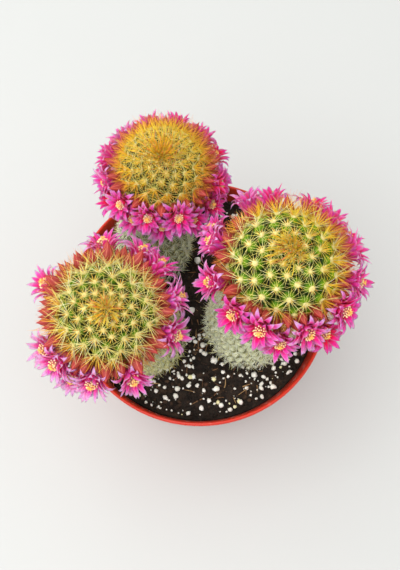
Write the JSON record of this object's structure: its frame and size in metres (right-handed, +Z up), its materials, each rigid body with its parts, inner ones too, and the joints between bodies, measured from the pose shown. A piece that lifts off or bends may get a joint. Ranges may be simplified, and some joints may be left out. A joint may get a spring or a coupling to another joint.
{
  "type": "potted round cactus",
  "caption": "Round pincushion cactus with short spiny stems, each crowned by a ring of pink blooms, standing in soil in a tapered plastic nursery pot.",
  "frame": {"origin": "centre of the underside of the pot, on the surface that the pot stands on", "axes": "+Z up along the pot's axis, +Y away from the viewer of the picture, +X to the viewer's right"},
  "size_m": [0.1677, 0.157, 0.1967],
  "materials": {
    "pot_plastic": "orange-red moulded plastic, soft gloss",
    "peat_soil": "dark damp peat with white perlite grains",
    "spiny_skin": "green waxy tubercles under cream and amber spines",
    "petals": "silky magenta petals, paler and lilac at the tips"
  },
  "bodies": {
    "root": {"pot": "pot_plastic", "soil": "peat_soil", "stem_left": "spiny_skin", "stem_right": "spiny_skin", "stem_back": "spiny_skin", "bloom_left_01": "petals", "bloom_left_02": "petals", "bloom_left_03": "petals", "bloom_left_04": "petals", "bloom_left_05": "petals", "bloom_left_06": "petals", "bloom_left_07": "petals", "bloom_left_08": "petals", "bloom_left_09": "petals", "bloom_left_10": "petals", "bloom_left_11": "petals", "bloom_right_01": "petals", "bloom_right_02": "petals", "bloom_right_03": "petals", "bloom_right_04": "petals", "bloom_right_05": "petals", "bloom_right_06": "petals", "bloom_right_07": "petals", "bloom_right_08": "petals", "bloom_right_09": "petals", "bloom_right_10": "petals", "bloom_right_11": "petals", "bloom_right_12": "petals", "bloom_right_13": "petals", "bloom_right_14": "petals", "bloom_right_15": "petals", "bloom_right_16": "petals", "bloom_back_01": "petals", "bloom_back_02": "petals", "bloom_back_03": "petals", "bloom_back_04": "petals", "bloom_back_05": "petals", "bloom_back_06": "petals", "bloom_back_07": "petals", "bloom_back_08": "petals", "bloom_back_09": "petals", "bloom_back_10": "petals", "bloom_back_11": "petals", "bloom_back_12": "petals", "bloom_back_13": "petals", "bloom_back_14": "petals", "bloom_back_15": "petals", "bloom_back_16": "petals", "bloom_back_17": "petals", "bloom_back_18": "petals", "bloom_back_19": "petals", "bloom_back_20": "petals", "bloom_back_21": "petals", "bloom_back_22": "petals"}
  },
  "joints": []
}
